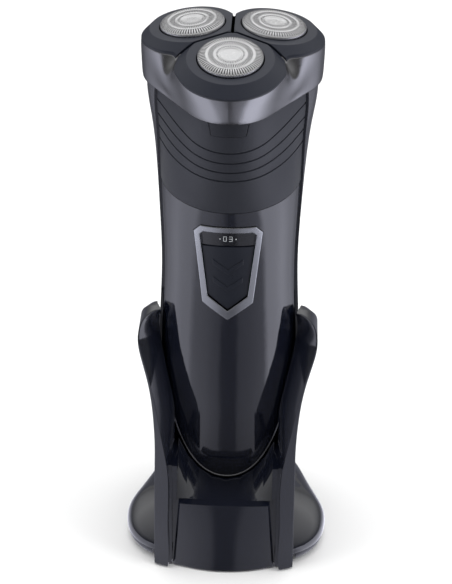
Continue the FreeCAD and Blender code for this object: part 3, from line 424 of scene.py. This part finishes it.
def make_foil(name):
    """Steel cap: domed rim, ridges and radial slots in three rings."""
    columns = SLOTS * SLOT_COLUMNS
    mesh = bmesh.new()
    rings = []
    for radius, height in FOIL_OUTSIDE:
        ring = []
        for column in range(columns):
            angle = 2 * math.pi * column / columns
            x = radius * MM * math.cos(angle)
            y = radius * MM * math.sin(angle)
            ring.append(mesh.verts.new((x, y, height * MM)))
        rings.append(ring)
    centre = mesh.verts.new((0.0, 0.0, FOIL_OUTSIDE[-1][1] * MM))
    slot_faces = []
    for row, (outer, inner) in enumerate(zip(rings, rings[1:])):
        middle = (FOIL_OUTSIDE[row][0] + FOIL_OUTSIDE[row + 1][0]) / 2
        for column in range(columns):
            after = (column + 1) % columns
            face = mesh.faces.new((outer[column], outer[after], inner[after], inner[column]))
            if in_slot(middle, column):
                slot_faces.append(face)
    for column in range(columns):
        mesh.faces.new((rings[-1][column], rings[-1][(column + 1) % columns], centre))
    floors = bmesh.ops.extrude_face_region(mesh, geom=slot_faces)["geom"]
    covers = [face for face in slot_faces if face.is_valid]
    bmesh.ops.delete(mesh, geom=covers, context="FACES_ONLY")
    sunk = {item for item in floors if isinstance(item, bmesh.types.BMVert)}
    for vert in sunk:
        vert.co.z -= SLOT_DEPTH
    # the sunk slot faces take the painted shade instead of the steel
    for face in mesh.faces:
        if any(vert in sunk for vert in face.verts):
            face.material_index = 1
    bmesh.ops.recalc_face_normals(mesh, faces=mesh.faces)
    mesh.transform(foil_frame(name))
    materials = [LOOKS["foil_steel"], PAINTED_SLOT_SHADE]
    piece = new_piece("foil_cap_" + name, mesh, materials, "float_" + name)
    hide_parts("foil_" + name)


for pad in ("front", "right", "left"):
    make_foil(pad)


def prism(mesh, outline, y_front, depth):
    """Extrudes an outline of (x, z) pairs, in metres, along Y."""
    front = [mesh.verts.new((x, y_front, z)) for x, z in outline]
    back = [mesh.verts.new((x, y_front + depth, z)) for x, z in outline]
    mesh.faces.new(front)
    mesh.faces.new(list(reversed(back)))
    for i in range(len(outline)):
        j = (i + 1) % len(outline)
        mesh.faces.new((front[j], front[i], back[i], back[j]))


# the readout, in mm about its middle
MARK_INSET = 0.05 * MM         # behind the lens's front
MARK_DEPTH = 0.1 * MM
MARK_RISE = 0.1 * MM           # above the lens's middle
DOT_LEFTS = (-3.0, 2.6)
DOT_SIZE = 0.35
DOT_HALF = 0.2
# left, right, bottom and top of a figure's bars, from its left side
FIGURE_BARS = {
    "top": (0.0, 1.2, 0.85, 1.0),
    "middle": (0.0, 1.2, -0.08, 0.08),
    "bottom": (0.0, 1.2, -1.0, -0.85),
    "right": (1.03, 1.2, -1.0, 1.0),
    "left": (0.0, 0.17, -1.0, 1.0),
}
FIGURES = (
    (-1.7, ("top", "bottom", "right", "left")),
    (0.35, ("top", "middle", "bottom", "right")),
)


def display_marks():
    """A generic level readout, two small figures between two dots, lit at the smoked lens."""
    low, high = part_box("display_lens")
    y = low.y + MARK_INSET
    z = (low.z + high.z) / 2 + MARK_RISE
    mesh = bmesh.new()

    def bar(x0, x1, z0, z1):
        corners = ((x0, z0), (x1, z0), (x1, z1), (x0, z1))
        prism(mesh, [(cx * MM, z + cz * MM) for cx, cz in corners], y, MARK_DEPTH)

    for left in DOT_LEFTS:
        bar(left, left + DOT_SIZE, -DOT_HALF, DOT_HALF)
    for left, names in FIGURES:
        for x0, x1, z0, z1 in (FIGURE_BARS[name] for name in names):
            bar(left + x0, left + x1, z0, z1)
    piece = new_piece("display_marks", mesh, [lit_mark()], "handle")
    piece.data.polygons.foreach_set("use_smooth", [False] * len(piece.data.polygons))


display_marks()

# the front shell's lower edge is half an ellipse about this height
RIM_CENTRE_Z = 73.5 * MM
RIM_HALF_WIDTH = 22.6 * MM
RIM_STEPS = 120
RIM_SIDES = 8
RIM_START, RIM_SPAN = 0.02, 0.96   # of the half turn from one end of the edge to the other
RIM_INSET = 0.45 * MM
RIM_RADIUS = 0.4 * MM
RIM_FLATNESS = 0.7
RIM_TAPER = 0.35               # power that keeps the bead full until near its ends
RAY_START_Y = -0.1
WELD = 1e-7


def rim_path():
    """Points on the front shell just inside its rounded lower edge, from side to side."""
    shell = BVHTree.FromPolygons(
        [vert.co.copy() for vert in NODES["front_shell"].data.vertices],
        [tuple(face.vertices) for face in NODES["front_shell"].data.polygons],
    )
    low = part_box("front_shell")[0].z
    path = []
    for step in range(RIM_STEPS + 1):
        t = math.pi * (RIM_START + RIM_SPAN * step / RIM_STEPS)
        x = -(RIM_HALF_WIDTH - RIM_INSET) * math.cos(t)
        z = RIM_CENTRE_Z - (RIM_CENTRE_Z - low - RIM_INSET) * math.sin(t)
        hit = shell.ray_cast(Vector((x, RAY_START_Y, z)), Vector((0.0, 1.0, 0.0)))
        if hit[0] is not None:
            path.append(hit[0])
    return path


def rim_bead():
    """Plated bead along the rounded lower edge of the front shell."""
    path = rim_path()
    mesh = bmesh.new()
    rings = []
    for i, point in enumerate(path):
        along = (path[min(i + 1, len(path) - 1)] - path[max(i - 1, 0)]).normalized()
        outward = Vector((0.0, -1.0, 0.0))
        across = along.cross(outward).normalized()
        outward = across.cross(along)
        swell = math.sin(math.pi * i / (len(path) - 1)) ** RIM_TAPER
        ring = []
        for side in range(RIM_SIDES):
            turn = 2 * math.pi * side / RIM_SIDES
            offset = (across * math.cos(turn) * RIM_RADIUS
                      + outward * math.sin(turn) * RIM_RADIUS * RIM_FLATNESS)
            ring.append(mesh.verts.new(point + offset * swell))
        rings.append(ring)
    for first, second in zip(rings, rings[1:]):
        for side in range(RIM_SIDES):
            after = (side + 1) % RIM_SIDES
            mesh.faces.new((first[side], first[after], second[after], second[side]))
    bmesh.ops.remove_doubles(mesh, verts=mesh.verts, dist=WELD)
    bmesh.ops.recalc_face_normals(mesh, faces=mesh.faces)
    new_piece("rim_bead", mesh, [LOOKS["dark_chrome"]], "handle")


rim_bead()

# ---------------------------------------------------------------- studio
FLOOR_HALF = 6.0
GLOW_HALF = 3.0
GLOW_Z = -0.001                # just below the floor
TINT = (0.95, 0.96, 1.10)
# degrees round from the front, and brightness, of the lit table as a glossy surface sees it
TABLE_GLOW = [
    (-180, 0.12), (-140, 0.14), (-112, 0.5), (-88, 1.0), (-52, 1.08), (-43, 0.62), (-24, 0.5),
    (-9, 0.32), (-5, 0.12), (5, 0.12), (9, 0.3), (22, 0.36), (43, 0.5), (52, 1.42), (88, 1.4),
    (112, 0.7), (140, 0.2), (180, 0.12),
]
GLOW_TOP = 2.0
# name, place, aim, width and height in metres, and power of each softbox
SOFTBOXES = (
    ("top_box", (0.0, 0.1, 1.5), (0.0, 0.0, 0.0), 1.6, 1.2, 16.0),
    ("left_box", (-1.3, -0.5, 0.9), (0.0, 0.0, 0.1), 0.7, 1.4, 8.0),
    ("right_box", (1.3, -0.5, 0.9), (0.0, 0.0, 0.1), 0.7, 1.4, 10.0),
)
# direction towards the back and up: where the room's brightness starts and stops to change,
# and its value at both
ROOM_DEPTH = (-0.7, 0.6, 0.3, 0.95)
ROOM_HEIGHT = (0.1, 0.45, 0.25, 1.0)
ROOM_WHITE = (1.0, 1.0, 1.0, 1.0)


def add_mesh(name, mesh, material):
    data = bpy.data.meshes.new(name)
    mesh.to_mesh(data)
    mesh.free()
    data.materials.append(material)
    made = bpy.data.objects.new(name, data)
    bpy.context.scene.collection.objects.link(made)
    return made


def make_floor():
    graph = surface("studio_floor", (0.9, 0.9, 0.9), 0.6, spread=0.01, edge=0.0)
    graph.fixed(Specular_IOR_Level=0.2)
    mesh = bmesh.new()
    bmesh.ops.create_grid(mesh, x_segments=8, y_segments=8, size=FLOOR_HALF)
    floor = add_mesh("studio_floor", mesh, graph.material)
    floor.visible_glossy = False


def make_table_glow():
    """The lit table as the gloss reflects it: bright sides, dim towards the front and the back."""
    graph = Graph("table_glow")
    place = graph.node("ShaderNodeSeparateXYZ")
    graph.link(graph.coords, place.inputs[0])
    flip = graph.node("ShaderNodeMath", operation="MULTIPLY")
    flip.inputs[1].default_value = -1.0
    graph.link(place.outputs["Y"], flip.inputs[0])
    turn = graph.node("ShaderNodeMath", operation="ARCTAN2")
    graph.link(place.outputs["X"], turn.inputs[0])
    graph.link(flip.outputs[0], turn.inputs[1])
    share = graph.ramp(turn.outputs[0], 0.0, 1.0, -math.pi, math.pi)
    ramp = graph.node("ShaderNodeValToRGB")
    graph.link(share, ramp.inputs[0])
    stops = ramp.color_ramp.elements
    while len(stops) > 1:
        stops.remove(stops[-1])
    for i, (degrees, glow) in enumerate(TABLE_GLOW):
        position = (degrees + 180) / 360
        stop = stops[0] if i == 0 else stops.new(position)
        stop.position = position
        stop.color = (*tint(TINT, glow / GLOW_TOP), 1.0)
    emission = graph.node("ShaderNodeEmission")
    emission.inputs["Strength"].default_value = GLOW_TOP
    graph.link(ramp.outputs[0], emission.inputs["Color"])
    output = graph.tree.nodes["Material Output"]
    graph.link(emission.outputs[0], output.inputs["Surface"])
    mesh = bmesh.new()
    bmesh.ops.create_grid(mesh, x_segments=4, y_segments=4, size=GLOW_HALF)
    card = add_mesh("table_glow", mesh, graph.material)
    card.location.z = GLOW_Z
    card.visible_camera = False
    card.visible_diffuse = False
    card.visible_shadow = False
    card.visible_transmission = False


def softbox(name, place, aim, width, height, power):
    """Soft light that the camera and the gloss don't see."""
    data = bpy.data.lights.new(name, "AREA")
    data.shape = "RECTANGLE"
    data.size = width
    data.size_y = height
    data.energy = power
    light = bpy.data.objects.new(name, data)
    light.location = place
    light.rotation_euler = (Vector(aim) - Vector(place)).to_track_quat("-Z", "Y").to_euler()
    light.visible_camera = False
    light.visible_glossy = False
    bpy.context.scene.collection.objects.link(light)


def make_world():
    """White to the camera. The gloss sees a bright room behind the object, a dim one before it."""
    world = bpy.data.worlds.new("studio")
    bpy.context.scene.world = world
    world.use_nodes = True
    tree = world.node_tree
    background = tree.nodes["Background"]
    place = tree.nodes.new("ShaderNodeSeparateXYZ")
    tree.links.new(tree.nodes.new("ShaderNodeTexCoord").outputs["Generated"], place.inputs[0])
    glow = tree.nodes.new("ShaderNodeMath")
    glow.operation = "MULTIPLY"
    for i, (axis, limits) in enumerate((("Y", ROOM_DEPTH), ("Z", ROOM_HEIGHT))):
        span = tree.nodes.new("ShaderNodeMapRange")
        for socket, limit in zip(("From Min", "From Max", "To Min", "To Max"), limits):
            span.inputs[socket].default_value = limit
        tree.links.new(place.outputs[axis], span.inputs["Value"])
        tree.links.new(span.outputs["Result"], glow.inputs[i])
    path = tree.nodes.new("ShaderNodeLightPath")
    tone = tree.nodes.new("ShaderNodeMix")
    tone.data_type = "RGBA"
    tree.links.new(glow.outputs[0], tone.inputs[MIX_FIRST])
    tone.inputs[MIX_SECOND].default_value = ROOM_WHITE
    tree.links.new(path.outputs["Is Camera Ray"], tone.inputs[MIX_FACTOR])
    tree.links.new(tone.outputs[MIX_RESULT], background.inputs["Color"])
    bpy.context.scene.view_settings.view_transform = "Standard"


def make_studio():
    make_floor()
    make_table_glow()
    for box in SOFTBOXES:
        softbox(*box)
    make_world()


make_studio()
